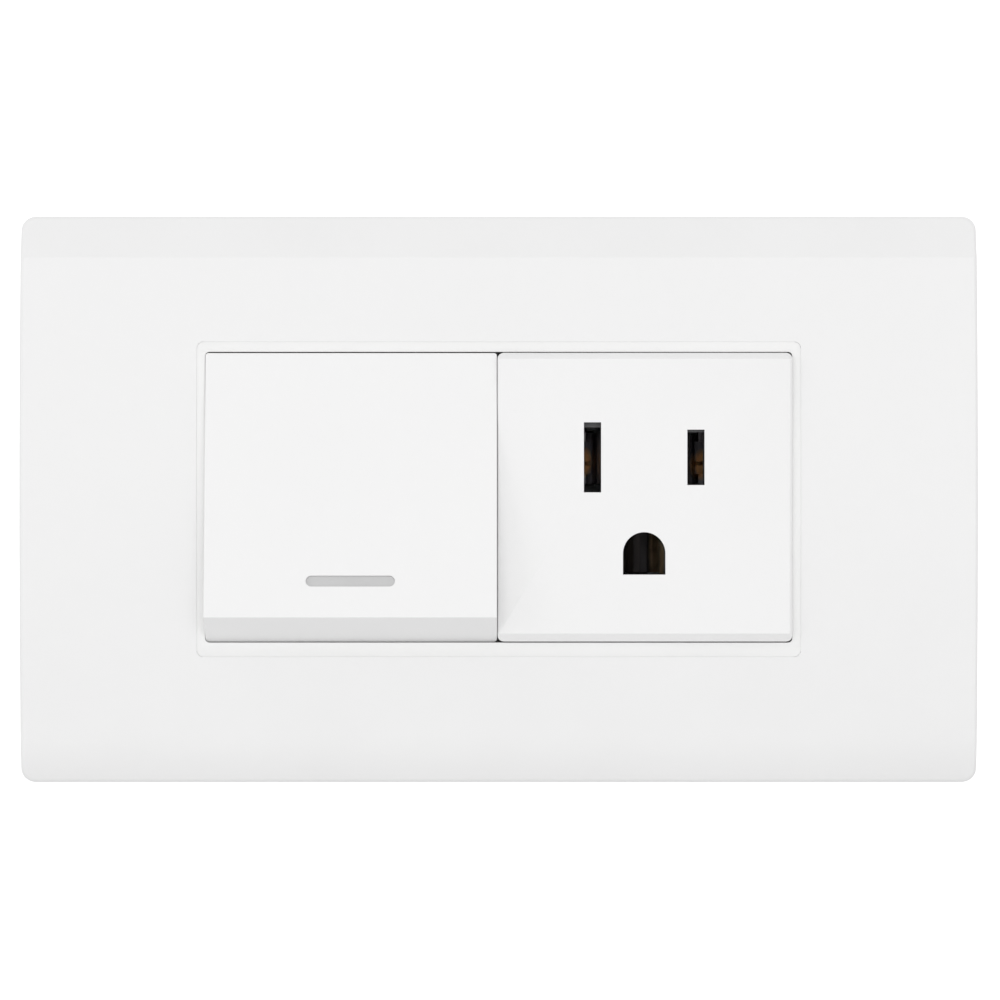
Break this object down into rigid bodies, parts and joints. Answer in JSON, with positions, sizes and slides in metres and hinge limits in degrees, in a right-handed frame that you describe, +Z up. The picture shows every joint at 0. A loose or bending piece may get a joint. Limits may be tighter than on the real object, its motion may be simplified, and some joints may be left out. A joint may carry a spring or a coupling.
{
  "type": "switch and socket combination",
  "caption": "Wall plate with a wide one-way rocker switch beside a grounded outlet with two blade slots and a U-shaped earth hole; modules clip into a frame under a cover that clips on.",
  "frame": {"origin": "on the wall surface, behind the centre of the cover plate", "axes": "+X to the right and +Z up as seen from the room; +Y into the wall"},
  "size_m": [0.118, 0.0352, 0.07],
  "materials": {
    "white_abs": "smooth white moulded plastic, soft gloss",
    "frame_white": "white moulded plastic, satin",
    "grey_lens": "grey translucent luminous insert, satin",
    "body_grey": "light grey moulded nylon, matt",
    "acetal": "natural acetal, satin",
    "brass": "stamped sheet brass",
    "copper": "stamped copper alloy",
    "silver": "silver alloy rivet",
    "zinc_steel": "zinc plated steel"
  },
  "bodies": {
    "wall_unit": {"cover_plate": "white_abs", "mounting_frame": "frame_white", "mounting_screw_left": "zinc_steel", "mounting_screw_right": "zinc_steel", "switch_yoke": "body_grey", "switch_housing": "body_grey", "fixed_contact_rivet": "silver", "common_terminal": "brass", "load_terminal": "brass", "common_terminal_screw": "zinc_steel", "common_clamp_plate": "zinc_steel", "load_terminal_screw": "zinc_steel", "load_clamp_plate": "zinc_steel", "socket_face": "white_abs", "socket_housing": "body_grey", "neutral_contact": "brass", "live_contact": "brass", "earth_contact": "brass", "neutral_terminal_screw": "zinc_steel", "neutral_clamp_plate": "zinc_steel", "live_terminal_screw": "zinc_steel", "live_clamp_plate": "zinc_steel", "earth_terminal_screw": "zinc_steel", "earth_clamp_plate": "zinc_steel"},
    "rocker": {"rocker_key": "white_abs", "indicator_strip": "grey_lens", "key_carrier": "acetal", "toggle_spring": "zinc_steel"},
    "plunger": {"toggle_plunger": "acetal"},
    "seesaw": {"moving_contact": "copper", "moving_contact_rivet": "silver"}
  },
  "joints": [
    {"name": "rocker_tilt", "type": "hinge", "parent": "wall_unit", "child": "rocker", "pos_m": [-0.01815, -0.0065, 0.00025], "axis": [1, 0, 0], "range_deg": [0, 9]},
    {"name": "contact_rock", "type": "hinge", "parent": "wall_unit", "child": "seesaw", "pos_m": [-0.01815, 0.0065, 0.00025], "axis": [1, 0, 0], "range_deg": [-14, 0]},
    {"name": "plunger_slide", "type": "slide", "parent": "rocker", "child": "plunger", "axis": [0, -0.9969, 0.0785], "range_m": [0, 0.0008], "stiffness_N_per_m": 200, "deforming": ["toggle_spring"]}
  ],
  "couplings": [
    {"joint": "contact_rock", "follows": "rocker_tilt", "ratio": -1.5555}
  ]
}
